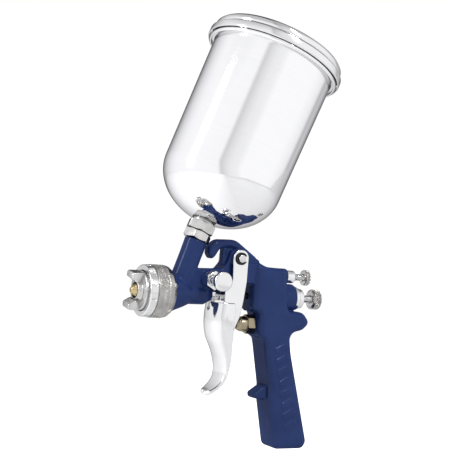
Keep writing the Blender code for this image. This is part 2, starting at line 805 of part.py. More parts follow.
def build():
    global parts, cutters
    clear_scene()
    parts = collection("gravity_feed_spray_gun")
    cutters = collection("cutters")
    blue = material("blue_enamel", (0.035, 0.06, 0.25), 0.22, 0.0)
    chrome = material("chrome", (0.80, 0.80, 0.82), 0.08, 1.0)
    satin = material("satin_nickel", (0.62, 0.61, 0.60), 0.32, 1.0)
    polished = material("polished_aluminium", (0.78, 0.79, 0.81), 0.14, 1.0)
    brass = material("brass", (0.72, 0.52, 0.22), 0.22, 1.0)
    steel = material("stainless_steel", (0.60, 0.60, 0.60), 0.25, 1.0)
    black = material("black_plastic", (0.02, 0.02, 0.02), 0.5, 0.0)
    white = material("white_plastic", (0.85, 0.85, 0.82), 0.45, 0.0)
    for make, look in (
        (gun_body, blue), (air_inlet_bushing, steel), (fluid_nozzle, brass), (nozzle_seal, white),
        (air_distributor, black), (air_cap, chrome), (cap_snap_ring, steel), (retaining_ring, satin),
        (fluid_needle, steel), (needle_collar, brass), (needle_packing, black), (packing_nut, chrome),
        (needle_spring, steel), (fluid_bushing, satin), (fluid_stem, steel), (fluid_knob, satin),
        (pattern_bushing, satin), (pattern_stem, steel), (pattern_knob, satin),
        (side_bushing, chrome), (side_stem, steel), (side_knob, chrome), (air_valve_nut, brass),
        (air_valve_packing, black), (air_valve_seat, brass), (air_valve_stem, steel),
        (air_valve_spring, steel), (trigger, chrome), (trigger_pin, steel), (e_clip, steel),
        (cup_body, polished), (cup_outlet, chrome), (union_nut, chrome), (cup_strainer, white),
        (lid_gasket, black), (cup_lid, polished), (vent_plug, black),
    ):
        make(look)


build()
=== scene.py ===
"""Gravity-feed spray gun: the pieces that show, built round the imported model."""

import json
from math import acos, cos, floor, pi, radians, sin, tan

import bmesh
import bpy
from mathutils import Matrix, Vector


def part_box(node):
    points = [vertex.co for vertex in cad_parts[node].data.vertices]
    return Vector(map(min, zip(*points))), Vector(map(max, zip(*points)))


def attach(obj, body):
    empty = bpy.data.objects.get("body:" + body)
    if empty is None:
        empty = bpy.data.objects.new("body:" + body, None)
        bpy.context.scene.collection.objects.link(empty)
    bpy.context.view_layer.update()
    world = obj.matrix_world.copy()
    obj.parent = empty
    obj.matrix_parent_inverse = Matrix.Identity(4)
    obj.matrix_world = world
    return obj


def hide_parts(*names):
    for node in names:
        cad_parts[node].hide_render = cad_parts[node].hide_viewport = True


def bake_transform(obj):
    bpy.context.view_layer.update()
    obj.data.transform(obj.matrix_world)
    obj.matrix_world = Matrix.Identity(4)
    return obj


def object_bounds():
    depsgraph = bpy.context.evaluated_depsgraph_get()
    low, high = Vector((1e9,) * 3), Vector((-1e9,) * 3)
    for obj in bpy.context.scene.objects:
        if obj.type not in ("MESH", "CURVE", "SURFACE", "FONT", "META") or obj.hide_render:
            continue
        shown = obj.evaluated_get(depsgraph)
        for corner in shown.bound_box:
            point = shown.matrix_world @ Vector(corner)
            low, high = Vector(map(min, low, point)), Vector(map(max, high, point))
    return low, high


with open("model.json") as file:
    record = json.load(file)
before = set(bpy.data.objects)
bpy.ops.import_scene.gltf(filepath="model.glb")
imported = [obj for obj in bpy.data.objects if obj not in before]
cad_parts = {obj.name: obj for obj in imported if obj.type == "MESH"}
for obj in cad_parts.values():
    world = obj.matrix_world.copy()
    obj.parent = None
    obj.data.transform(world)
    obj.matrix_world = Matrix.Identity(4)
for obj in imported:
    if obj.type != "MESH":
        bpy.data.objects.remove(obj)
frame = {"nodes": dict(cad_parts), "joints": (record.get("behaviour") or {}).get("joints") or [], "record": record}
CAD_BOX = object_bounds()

MM = 0.001
JOINTS = {joint["name"]: joint for joint in frame["joints"]}


# ---- places, partly read from the imported model ---------------------------

def joint_place(name):
    return Vector(JOINTS[name]["pos_m"])


def middle(node):
    low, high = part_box(node)
    return (low + high) / 2


# sizes below are in millimetres from the datum, a point on the needle's axis
PIVOT_X, PIVOT_Z = 45.0, 25.0
DATUM = Vector((joint_place("trigger_pull").x - PIVOT_X * MM, 0, middle("fluid_needle").z))
CUP_AXIS = Vector(JOINTS["cup_lift"]["axis"]).normalized()
PATTERN_Z = (joint_place("pattern_turn").z - DATUM.z) / MM
SIDE = (joint_place("side_turn") - DATUM) / MM
VALVE_Z = (middle("air_valve_stem").z - DATUM.z) / MM
CUP_FOOT = 1.6                      # where the cup's axis meets the needle's
HANDLE_LEAN = radians(12.5)
CAMERA_AZIMUTH = radians(-28.75)    # the photograph's side of the gun, which the studio is built round


def at(x=0.0, y=0.0, z=0.0):
    return Matrix.Translation(DATUM + Vector((x, y, z)) * MM)


def along_needle(z=0.0):
    """Local +Z runs to the rear."""
    return at(0, 0, z) @ Matrix.Rotation(pi / 2, 4, "Y")


def along_cup():
    """Local +Z runs up the cup's axis."""
    return at(CUP_FOOT) @ CUP_AXIS.to_track_quat("Z", "Y").to_matrix().to_4x4()


def along_side():
    """Local +Z runs to -Y, out through the side valve."""
    return at(SIDE.x, 0, SIDE.z) @ Matrix.Rotation(pi / 2, 4, "X")


def along_handle():
    """Local +Z runs up the handle from its foot."""
    return at(95, 0, -103) @ Matrix.Rotation(-HANDLE_LEAN, 4, "Y")


def side_view(y=0.0):
    """Local X and Y are the gun's X and Z."""
    return at(0, y, 0) @ Matrix.Rotation(pi / 2, 4, "X")


def across_pivot():
    return at(PIVOT_X, 0, PIVOT_Z) @ Matrix.Rotation(pi / 2, 4, "X")


# ---- shapes --------------------------------------------------------------

def arc(corner, before, after, radius, step):
    """The points that round off one corner of an outline."""
    to_before = before - corner
    to_after = after - corner
    reach = min(to_before.length, to_after.length) * 0.49
    to_before.normalize()
    to_after.normalize()
    half = acos(max(-1.0, min(1.0, to_before.dot(to_after)))) / 2
    if half < 0.05 or half > pi / 2 - 0.03 or radius <= 0:
        return [corner]
    radius = min(radius, reach * tan(half))
    centre = corner + (to_before + to_after).normalized() * (radius / sin(half))
    start = corner + to_before * (radius / tan(half)) - centre
    sweep = pi - 2 * half
    side = corner - centre
    turn = 1 if start.x * side.y - start.y * side.x > 0 else -1
    count = max(2, round(sweep / step))
    return [centre + Matrix.Rotation(turn * sweep * k / count, 2) @ start for k in range(count + 1)]


def outline(corners, step):
    """A closed outline through corners (x, y, radius), each rounded by an arc."""
    points = []
    count = len(corners)
    for i, (x, y, radius) in enumerate(corners):
        before = Vector(corners[i - 1][:2])
        after = Vector(corners[(i + 1) % count][:2])
        points += arc(Vector((x, y)), before, after, radius, step)
    return points


def soften(profile, fillet, loop):
    """A turned section with every corner rounded. A point may hold its own radius."""
    count = len(profile)
    points = []
    for i, entry in enumerate(profile):
        here = Vector(entry[:2])
        radius = entry[2] if len(entry) > 2 else fillet
        at_end = not loop and i in (0, count - 1)
        if at_end or radius <= 0 or here.x < 1e-6:
            points.append(here)
            continue
        before = Vector(profile[i - 1][:2])
        after = Vector(profile[(i + 1) % count][:2])
        points += arc(here, before, after, radius, radians(25))
    return points


def dense(points, longest):
    """Adds points so that no stretch is longer than this, for relief to shape."""
    made = [points[0]]
    for here in points[1:]:
        last = made[-1]
        count = max(1, int((here - last).length / longest + 0.999))
        made += [last.lerp(here, k / count) for k in range(1, count + 1)]
    return made


def piece_from(name, shape, matrix, turn_faces_out=True):
    mesh = bpy.data.meshes.new(name)
    if turn_faces_out:
        bmesh.ops.recalc_face_normals(shape, faces=shape.faces)
    shape.to_mesh(mesh)
    shape.free()
    thing = bpy.data.objects.new(name, mesh)
    thing.matrix_world = matrix
    bpy.context.scene.collection.objects.link(thing)
    return thing


def turned(name, profile, matrix, steps=96, fillet=0.25, loop=False, relief=None, longest=0):
    """A turned solid from (radius, height) in mm. relief(angle, radius, height) gives a new radius."""
    points = soften(profile, fillet, loop)
    if longest:
        points = dense(points + points[:1], longest)[:-1] if loop else dense(points, longest)
    shape = bmesh.new()
    rings = []
    for point in points:
        if point.x < 1e-6:
            rings.append([shape.verts.new((0, 0, point.y * MM))])
            continue
        ring = []
        for k in range(steps):
            angle = 2 * pi * k / steps
            radius = relief(angle, point.x, point.y) if relief else point.x
            ring.append(shape.verts.new((radius * cos(angle) * MM, radius * sin(angle) * MM, point.y * MM)))
        rings.append(ring)
    pairs = list(zip(rings, rings[1:]))
    if loop:
        pairs.append((rings[-1], rings[0]))
    for upper, lower in pairs:
        for k in range(steps):
            n = (k + 1) % steps
            if len(upper) == 1 and len(lower) == 1:
                break
            if len(upper) == 1:
                shape.faces.new((upper[0], lower[k], lower[n]))
            elif len(lower) == 1:
                shape.faces.new((upper[k], lower[0], upper[n]))
            else:
                shape.faces.new((upper[k], lower[k], lower[n], upper[n]))
    return piece_from(name, shape, matrix)


def rod(name, radius, low, high, matrix, steps=64):
    return turned(name, [(0, high), (radius, high), (radius, low), (0, low)], matrix, steps, 0)


def plate(name, corners, half, matrix, edge=0.0, segments=4, step=radians(10)):
    """A flat outline with thickness and rounded rims."""
    shape = bmesh.new()
    loop = outline(corners, step)
    low = [shape.verts.new((p.x * MM, p.y * MM, -half * MM)) for p in loop]
    high = [shape.verts.new((p.x * MM, p.y * MM, half * MM)) for p in loop]
    shape.faces.new(low)
    shape.faces.new(high)
    count = len(loop)
    for i in range(count):
        shape.faces.new((low[i], low[(i + 1) % count], high[(i + 1) % count], high[i]))
    made = piece_from(name, shape, matrix)
    if edge:
        bevel(made, edge, segments, 50)
    return made


def bevel(thing, width, segments, angle=30):
    step = thing.modifiers.new("rim", "BEVEL")
    step.width = width * MM
    step.segments = segments
    step.limit_method = "ANGLE"
    step.angle_limit = radians(angle)
    step.use_clamp_overlap = False
    return thing


def box(name, size, centre):
    shape = bmesh.new()
    bmesh.ops.create_cube(shape, size=1.0, matrix=Matrix.Diagonal((*(side * MM for side in size), 1.0)))
    return piece_from(name, shape, at(*centre))


def hexagon(name, flats, low, high, matrix, chamfer=0.9, turn=0.0):
    """A hexagon nut's body, its corners cut by the usual cone at both ends."""
    shape = bmesh.new()
    corner = flats / 2 / cos(pi / 6)
    bmesh.ops.create_cone(
        shape, cap_ends=True, segments=6, radius1=corner * MM, radius2=corner * MM, depth=(high - low) * MM,
    )
    bmesh.ops.transform(
        shape, verts=shape.verts,
        matrix=Matrix.Translation((0, 0, (low + high) / 2 * MM)) @ Matrix.Rotation(turn, 4, "Z"),
    )
    nut = piece_from(name, shape, matrix)
    bevel(nut, 0.22, 2)
    reach = flats / 2 - 0.15
    rise = (corner + 1 - reach) * tan(radians(30)) * chamfer
    cone = turned(name + "_cone", [
        (0, high), (reach, high), (corner + 1, high - rise), (corner + 1, low + rise), (reach, low), (0, low),
    ], matrix, 96, 0)
    combine(nut, cone, "INTERSECT")
    return nut


def settle(thing):
    """Turns the modifiers into the mesh itself."""
    bpy.context.view_layer.update()
    mesh = bpy.data.meshes.new_from_object(thing.evaluated_get(bpy.context.evaluated_depsgraph_get()))
    thing.modifiers.clear()
    thing.data = mesh
    return thing


def combine(thing, other, operation):
    step = thing.modifiers.new(operation.lower(), "BOOLEAN")
    step.operation = operation
    step.solver = "EXACT"
    step.object = other
    settle(thing)
    bpy.data.objects.remove(other)
    return thing


def join(thing, *others):
    for other in others:
        combine(thing, other, "UNION")
    return thing


def cut(thing, *others):
    """Cuts all the others away at once, after joining them to each other."""
    tool = others[0]
    for other in others[1:]:
        combine(tool, other, "UNION")
    return combine(thing, tool, "DIFFERENCE")


def heap(name, things):
    """One mesh that holds several overlapping ones, for remeshing."""
    shape = bmesh.new()
    for thing in things:
        settle(thing)
        mesh = thing.data.copy()
        mesh.transform(thing.matrix_world)
        shape.from_mesh(mesh)
        bpy.data.objects.remove(thing)
    return piece_from(name, shape, Matrix(), False)


def cast(thing, voxel, rounds):
    """Melts overlapping shapes into one skin with soft fillets, as a casting has."""
    remesh = thing.modifiers.new("skin", "REMESH")
    remesh.mode = "VOXEL"
    remesh.voxel_size = voxel * MM
    smooth = thing.modifiers.new("soft", "SMOOTH")
    smooth.factor = 0.5
    smooth.iterations = rounds
    return settle(thing)


# ---- relief on turned pieces ---------------------------------------------

def wave(x):
    """A ridge pattern from 0 to 1 and back over each whole number."""
    return 1 - abs(2 * (x - floor(x)) - 1)


def knurl(teeth, pitch, depth, low, high):
    """Crossed ridges between two heights."""
    def relief(angle, radius, height):
        inside = min(1.0, max(0.0, (height - low) / 0.4), max(0.0, (high - height) / 0.4))
        if inside <= 0:
            return radius
        turn = angle * teeth / (2 * pi)
        rise = min(wave(turn + height / pitch), wave(turn - height / pitch))
        return radius - depth * inside * (1 - min(1.0, 1.6 * rise))
    return relief


def ridges(teeth, depth, low, high):
    """Straight ridges along the axis, with round tops."""
    def relief(angle, radius, height):
        inside = min(1.0, max(0.0, (height - low) / 0.5), max(0.0, (high - height) / 0.5))
        return radius - depth * inside * (1 - abs(sin(angle * teeth / 2)) ** 0.6)
    return relief


def thread(pitch, depth, low, high):
    def relief(angle, radius, height):
        if not low <= height <= high:
            return radius
        fade = min(1.0, (height - low) / (0.6 * pitch), (high - height) / (0.6 * pitch))
        return radius - depth * fade * (1 - wave(height / pitch + angle / (2 * pi)))
    return relief


# ---- looks ----------------------------------------------------------------

EDGE_TINT = (0.40, 0.40, 0.41, 1.0)     # metals darken towards their outlines


def nodes_of(look):
    tree = look.node_tree
    return tree, tree.nodes["Principled BSDF"]


def node(tree, kind, **values):
    made = tree.nodes.new(kind)
    for key, value in values.items():
        if key in made.inputs:
            made.inputs[key].default_value = value
        else:
            setattr(made, key, value)
    return made


def noise(tree, scale, detail, stretch):
    """A noise value in the piece's own space, squeezed along an axis if asked."""
    spot = node(tree, "ShaderNodeTexCoord")
    grain = node(tree, "ShaderNodeTexNoise", Scale=scale, Detail=detail)
    if stretch:
        mapping = node(tree, "ShaderNodeMapping", Scale=stretch)
        tree.links.new(spot.outputs["Object"], mapping.inputs["Vector"])
        tree.links.new(mapping.outputs["Vector"], grain.inputs["Vector"])
    else:
        tree.links.new(spot.outputs["Object"], grain.inputs["Vector"])
    return grain


def ramp(tree, source, low, high):
    """Maps a grain's middle range from one colour or value to another."""
    made = node(tree, "ShaderNodeValToRGB")
    first, second = made.color_ramp.elements
    first.position, second.position = 0.3, 0.7
    first.color = (*low, 1.0) if hasattr(low, "__len__") else (low, low, low, 1.0)
    second.color = (*high, 1.0) if hasattr(high, "__len__") else (high, high, high, 1.0)
    tree.links.new(source.outputs["Fac"], made.inputs["Fac"])
    return made


def finish_of(name, dark, light, metallic, rough, grain, bump, bump_scale, stretch=None):
    """A finish whose colour, roughness and surface all vary over the piece."""
    look = bpy.data.materials.new(name)
    look.use_nodes = True
    tree, shader = nodes_of(look)
    shader.inputs["Metallic"].default_value = metallic
    if metallic:
        shader.inputs["Specular Tint"].default_value = EDGE_TINT
    colour = ramp(tree, noise(tree, grain, 4.0, stretch), dark, light)
    tree.links.new(colour.outputs["Color"], shader.inputs["Base Color"])
    dull = ramp(tree, noise(tree, grain * 2.3, 2.0, stretch), rough[0], rough[1])
    tree.links.new(dull.outputs["Color"], shader.inputs["Roughness"])
    fine = noise(tree, bump_scale, 2.0, stretch)
    surface = node(tree, "ShaderNodeBump", Strength=bump, Distance=0.0002)
    tree.links.new(fine.outputs["Fac"], surface.inputs["Height"])
    tree.links.new(surface.outputs["Normal"], shader.inputs["Normal"])
    return look


def enamel():
    look = finish_of(
        "blue_enamel_gloss", (0.018, 0.039, 0.146), (0.024, 0.049, 0.174), 0.0, (0.24, 0.32), 60, 0.05, 420,
    )
    shader = nodes_of(look)[1]
    shader.inputs["Specular IOR Level"].default_value = 0.0
    shader.inputs["Coat Weight"].default_value = 0.11
    shader.inputs["Coat IOR"].default_value = 2.0
    shader.inputs["Coat Roughness"].default_value = 0.12
    return look


def two_bands(look, edge):
    """Polishes the part of a turned piece that lies below a height in mm."""
    tree, shader = nodes_of(look)
    spot = node(tree, "ShaderNodeSeparateXYZ")
    tree.links.new(node(tree, "ShaderNodeTexCoord").outputs["Object"], spot.inputs["Vector"])
    share = node(tree, "ShaderNodeMapRange", **{"From Min": (edge + 0.1) * MM, "From Max": (edge - 0.1) * MM})
    tree.links.new(spot.outputs["Z"], share.inputs["Value"])
    for socket, value in (("Base Color", (0.74, 0.74, 0.745, 1)), ("Roughness", (0.13, 0.13, 0.13, 1))):
        blend = node(tree, "ShaderNodeMix", data_type="RGBA")
        tree.links.new(share.outputs["Result"], blend.inputs["Factor"])
        tree.links.new(shader.inputs[socket].links[0].from_socket, blend.inputs[6])
        blend.inputs[7].default_value = value
        tree.links.new(blend.outputs[2], shader.inputs[socket])
    return look


AROUND = (1.0, 1.0, 40.0)           # grain drawn out round a turned piece
RING_STEP = -16.2                   # where the ring's knurled band ends and its front band starts
LOOKS = {
    "blue_enamel": enamel(),
    "chrome": finish_of(
        "chrome_plate", (0.78, 0.78, 0.79), (0.85, 0.85, 0.86), 1.0, (0.06, 0.11), 50, 0.02, 500),
    "satin_nickel": finish_of(
        "nickel_satin", (0.40, 0.385, 0.37), (0.60, 0.585, 0.57), 1.0, (0.18, 0.32), 90, 0.20, 900),
    "polished_aluminium": finish_of(
        "aluminium_polished", (0.89, 0.89, 0.905), (0.91, 0.91, 0.925), 1.0, (0.05, 0.06), 18, 0.003, 30,
        AROUND),
    "brass": finish_of(
        "brass_machined", (0.28, 0.235, 0.16), (0.42, 0.365, 0.26), 1.0, (0.10, 0.18), 70, 0.08, 300, AROUND),
    "stainless_steel": finish_of(
        "steel_machined", (0.56, 0.56, 0.57), (0.68, 0.68, 0.69), 1.0, (0.14, 0.24), 80, 0.10, 300, AROUND),
    "black_plastic": finish_of(
        "plastic_black", (0.012, 0.012, 0.013), (0.024, 0.024, 0.026), 0.0, (0.42, 0.58), 120, 0.25, 900),
    "white_plastic": finish_of(
        "plastic_white", (0.78, 0.78, 0.74), (0.86, 0.86, 0.83), 0.0, (0.40, 0.52), 120, 0.15, 900),
    # finishes that no slot of the record is named after
    "spun_aluminium": finish_of(
        "aluminium_spun", (0.78, 0.78, 0.79), (0.84, 0.84, 0.85), 1.0, (0.07, 0.10), 18, 0.004, 30),
    "ring_nickel": two_bands(finish_of(
        "nickel_ring", (0.34, 0.33, 0.32), (0.60, 0.585, 0.57), 1.0, (0.20, 0.34), 110, 0.25, 900),
        RING_STEP),
    "cast_nickel": finish_of(
        "nickel_cast", (0.46, 0.455, 0.45), (0.70, 0.695, 0.69), 1.0, (0.14, 0.26), 110, 0.15, 700),
    "gold_tip": finish_of(
        "nozzle_gold", (0.46, 0.37, 0.19), (0.60, 0.49, 0.27), 1.0, (0.14, 0.22), 70, 0.08, 300, AROUND),
    "dark_steel": finish_of(
        "steel_blackened", (0.030, 0.030, 0.032), (0.060, 0.060, 0.062), 1.0, (0.26, 0.38), 120, 0.1, 500),
}


def place(thing, cad_node, body, slot_name, look=None, angle=32):
    settle(thing)
    mesh = thing.data
    mesh.materials.clear()
    mesh.materials.append(LOOKS[look or slot_name])
    for face in mesh.polygons:
        face.use_smooth = True
        face.material_index = 0
    mesh.set_sharp_from_angle(angle=radians(angle))
    thing.name = cad_node + "_piece"
    if isinstance(body, str):
        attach(thing, body)
    else:
        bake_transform(thing)
    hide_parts(cad_node)
    return thing


# ---- body -----------------------------------------------------------------

def grip_ribs():
    """Plain raised ribs on both sides of the handle."""
    half_length, half_width, half_height = 5.4, 2.1, 0.85
    lowest, spacing = 17, 7.6
    behind, outward = 1.5, 10.78        # from the handle's own axis
    shape = [
        (-half_length, -half_width, 2.0), (half_length, -half_width, 2.0),
        (half_length, half_width, 2.0), (-half_length, half_width, 2.0),
    ]
    tilt = Matrix.Rotation(pi / 2, 4, "X") @ Matrix.Rotation(radians(16), 4, "Z")
    made = []
    for side in (-1, 1):
        for k in range(8):
            spot = Matrix.Translation((behind * MM, side * outward * MM, (lowest + spacing * k) * MM))
            turned_spot = along_handle() @ spot @ tilt
            made.append(plate(f"rib_{side}_{k}", shape, half_height, turned_spot, 0.3, 2, radians(30)))
    return made


def gun_body():
    handle = plate("handle", [
        (57.4, 24.8, 3), (67, 20.6, 12), (82.6, 20.2, 4.2), (86.3, -8.6, 3),
        (98.5, -8.8, 7), (104.6, -16, 4.2), (99, -21.2, 5), (88.6, -24, 8), (91.2, -38, 25),
        (108.6, -98.5, 5), (105.5, -103, 4.2), (82.6, -103, 4.2), (75, -68, 10), (75, -60, 10),
        (68.4, -28.6, 3.2), (63.6, -25.6, 3.2), (63.6, -10.5, 3.2), (57.4, -9, 3.2),
    ], 11, side_view(), 4.2, 6)
    hook = plate("hook", [
        (31.5, 34, 2), (40, 35, 8), (61.2, 25.2, 0), (61.2, 12, 0), (35.2, 12, 0), (35.2, 31, 1.2),
    ], 2.7, side_view(), 0.8, 3)
    arch = plate("arch", [
        (24.0, 26.8, 2.4), (24.6, 32.2, 6), (30.0, 36.8, 8), (44.2, 37.4, 11), (62.2, 25.6, 0), (56, 19.6, 0),
        (46.4, 30.4, 8), (38.4, 32.2, 6), (32.8, 30.6, 1.6), (29.3, 25.0, 1.8), (26.8, 23.0, 1.5),
    ], 4.3, side_view(), 2.0, 4)
    bridge = plate("bridge", [
        (6, 16.2, 0), (33.6, 17.2, 2), (37.4, 22, 5), (40, 30.4, 3), (50, 30.4, 3), (61.7, 24.5, 0),
        (61.7, 8.6, 0), (50, 8, 3), (36, 5, 8), (6, 4, 0),
    ], 7, side_view())
    spur = plate("spur", [
        (82, -56, 0), (75.6, -58.6, 5), (65.4, -65.4, 1.8), (66.4, -68.8, 1.8), (76.6, -70.6, 5),
        (83, -73, 0),
    ], 5.2, side_view(), 1.9, 4)
    needle = along_needle()
    head = turned("head", [
        (0, 29), (4.6, 29), (5.8, 26.5), (7.2, 24), (7.4, 13), (9.7, 8), (12.2, 1.5),
        (13.4, -1.2), (14, -2), (14, -15.2), (0, -15.2),
    ], needle, 96, 0.4)
    feed_top = 37.4
    mouth = (along_cup() @ Matrix.Translation((0, 0, feed_top * MM))).translation
    shift = Matrix.Translation((0.6 * MM, 0, 0))
    lean = Matrix.Translation(mouth) @ Matrix.Rotation(-radians(3), 4, "Y") @ Matrix.Translation(-mouth)
    boss = turned("feed_boss", [
        (0, feed_top), (7.6, feed_top), (7.4, 26), (7.5, 14), (8.2, 4), (0, 4),
    ], shift @ lean @ along_cup(), 96, 0.2)
    skin = heap("gun_body_skin", [
        handle, hook, arch, bridge, spur, head, boss,
        rod("pivot_boss", 5.6, -9.2, 9.2, across_pivot()),
        rod("fluid_boss", 9.8, 70, 92.6, needle),
        rod("pattern_boss", 5.5, 70, 86.6, along_needle(PATTERN_Z)),
        rod("valve_boss", 8.2, 63.5, 80, along_needle(VALVE_Z)),
        rod("side_boss", 6.2, 0, 10.1, along_side()),
        box("neck", (11.2, 18, 13.4), (56.8, 0, 15.6)),
        box("nose_rib", (10, 7, 7), (62.5, 0, -6.5)),
        *grip_ribs(),
    ])
    cast(skin, 0.42, 9)
    cut(
        skin,
        turned("front_bore", [
            (0, 30.5), (3.6, 30.5), (3.6, 22), (2.6, 21.9), (2.6, -2.7), (6.3, -2.8), (6.3, -8.5),
            (11.8, -8.6), (11.8, -17), (0, -17),
        ], needle, 48, 0),
        turned("feed_bore", [(0, 39), (4.2, 39), (4.2, 27.4), (3.0, 27.3), (3.0, 0.5), (0, 0.5)],
               along_cup(), 32, 0),
        turned("barrel_bore", [
            (0, 94), (6.8, 94), (6.8, 84), (5.6, 83), (5.6, 61), (2.4, 60), (2.4, 54), (0, 54),
        ], needle, 48, 0),
        turned("pattern_bore", [(0, 88), (3.6, 88), (3.6, 76), (1.9, 75), (1.9, 56), (0, 56)],
               along_needle(PATTERN_Z), 32, 0),
        rod("valve_bore", 5.6, 60, 86.5, along_needle(VALVE_Z), 40),
        turned("handle_bore", [(0, 85), (3.4, 84), (3.4, 16), (6.6, 15.9), (6.6, -6), (0, -6)],
               along_handle(), 40, 0),
        rod("pin_bore", 2.9, -12, 12, across_pivot(), 40),
        turned("side_bore", [(0, 12), (4.1, 12), (4.1, 4), (1.6, 3.9), (1.6, -5), (0, -5)],
               along_side(), 32, 0),
    )
    place(skin, "gun_body", "gun", "blue_enamel", angle=40)


def air_inlet_bushing():
    inlet = turned("inlet", [(5.2, 15.6), (6.3, 15.6), (6.3, 1.9), (4.9, 1.9)], along_handle(), 64, 0.3, True)
    place(inlet, "air_inlet_bushing", "gun", "stainless_steel")


# ---- front end ------------------------------------------------------------

def fluid_nozzle():
    needle = along_needle()
    nozzle = turned("nozzle", [
        (2.3, -3.2), (5.6, -3.2), (5.9, -3.5), (5.9, -9.9), (9.6, -10.1), (9.6, -12), (6.8, -12.1),
        (6.8, -13.8), (5.9, -17), (4.5, -20), (4.1, -25.4), (1.6, -28.4), (0.9, -28.4), (0.9, -27.2),
        (2.3, -23),
    ], needle, 96, 0.2, True)
    flats = hexagon("nozzle_flats", 11.4, -17, -13.7, needle)
    cut(flats, rod("flats_bore", 4.2, -18, -13, needle))
    place(join(nozzle, flats), "fluid_nozzle", "gun", "brass", "gold_tip")


def fluid_needle():
    place(turned("needle", [
        (0, 70), (1.25, 70, 0.3), (1.25, 68, 0), (5.1, 68, 0.3), (5.1, 66.6, 0.3), (1.25, 66.5, 0),
        (1.25, -23.5, 2), (0.3, -29.2, 0.1), (0, -29.4),
    ], along_needle(), 48, 0), "fluid_needle", "needle", "stainless_steel")


def retaining_ring():
    """Smooth notched band in front, knurled band behind it, and a chamfered rear edge."""
    grip = knurl(72, 1.5, 0.34, -15.2, -7.9)

    def relief(angle, radius, height):
        if radius > 16 and height < RING_STEP:
            near = (angle * 12 / (2 * pi)) % 1.0
            slot = min(1.0, max(0.0, (0.055 - abs(near - 0.5)) / 0.012))
            end = min(1.0, max(0.0, (height + 20.3) / 0.25), max(0.0, (-17.0 - height) / 0.25))
            return radius - 0.45 * slot * end
        return grip(angle, radius, height) if radius > 16.8 else radius

    place(turned("ring", [
        (14.3, -2.4, 0.2), (15, -2.4, 0.3), (16.7, -4.6, 0.8), (17.3, -7.2, 0.5), (17.3, -15.5, 0.25),
        (16.4, -15.6, 0.1), (16.4, -16.2, 0.1), (17.0, -16.3, 0.25), (16.75, -20.6, 0.5), (16.2, -21.2, 0.3),
        (13.3, -21.2, 0.3), (13.3, -19.3, 0), (14.3, -19.3, 0), (14.3, -16.8, 0), (15.3, -16.7, 0),
        (15.3, -15.5, 0), (14.3, -15.4, 0),
    ], along_needle(), 720, 0.2, True, relief, 0.2), "retaining_ring", "ring", "satin_nickel", "ring_nickel")


def air_cap():
    roll = at() @ Matrix.Rotation(radians(10), 4, "X") @ at().inverted()    # as it sits in the photograph
    needle = along_needle()
    cap = turned("cap", [
        (11.2, -16.9), (14.0, -16.9), (14.0, -19.0), (12.9, -19.0), (12.9, -22.1, 0.4), (12.3, -22.6, 0.3),
        (7.4, -22.9, 0.6), (6.2, -25.4, 0.3), (5.2, -25.6, 0.15), (5.2, -21.4), (8.6, -20.2), (11.2, -19.4),
    ], needle, 144, 0.15, True)
    horn = [(-21.6, 5.8, 0), (-21.6, 12.4, 0), (-30.4, 12.2, 1.6), (-30.4, 8.4, 0.9), (-26.4, 5.8, 0.9)]
    for side in (1, -1):
        flip = at() @ Matrix.Diagonal((1, side, side, 1)) @ at().inverted()     # a half turn about the needle
        join(cap, plate(f"horn_{side}", horn, 5.1, flip @ side_view(), 0.7, 3))
    holes = []
    for k in range(8):
        spin = Matrix.Rotation(2 * pi * (k + 0.5) / 8, 4, "Z") @ Matrix.Translation((9.3 * MM, 0, 0))
        holes.append(rod(f"cap_hole_{k}", 0.45, -24, -21.9, needle @ spin, 16))
    for side in (1, -1):
        for x, z in ((-28.6, 7.1), (-26.9, 5.9)):
            lean = Matrix.Rotation(side * radians(52), 4, "Y")
            holes.append(rod(f"horn_hole_{side}_{x}", 0.5, -1.6, 1.8, at(x, 0, side * z) @ lean, 16))
    cut(cap, *holes)
    cap.data.transform(cap.matrix_world.inverted() @ roll @ cap.matrix_world)
    place(cap, "air_cap", "air_cap", "chrome", "cast_nickel")


# ---- controls -------------------------------------------------------------

def packing_nut():
    needle = along_needle()
    nut = hexagon("packing", 6.6, 31.2, 34.4, needle)
    join(nut, rod("packing_collar", 3.7, 29.4, 31.6, needle))
    cut(nut, rod("packing_bore", 1.55, 28, 36, needle, 32))
    place(nut, "packing_nut", "gun", "chrome")


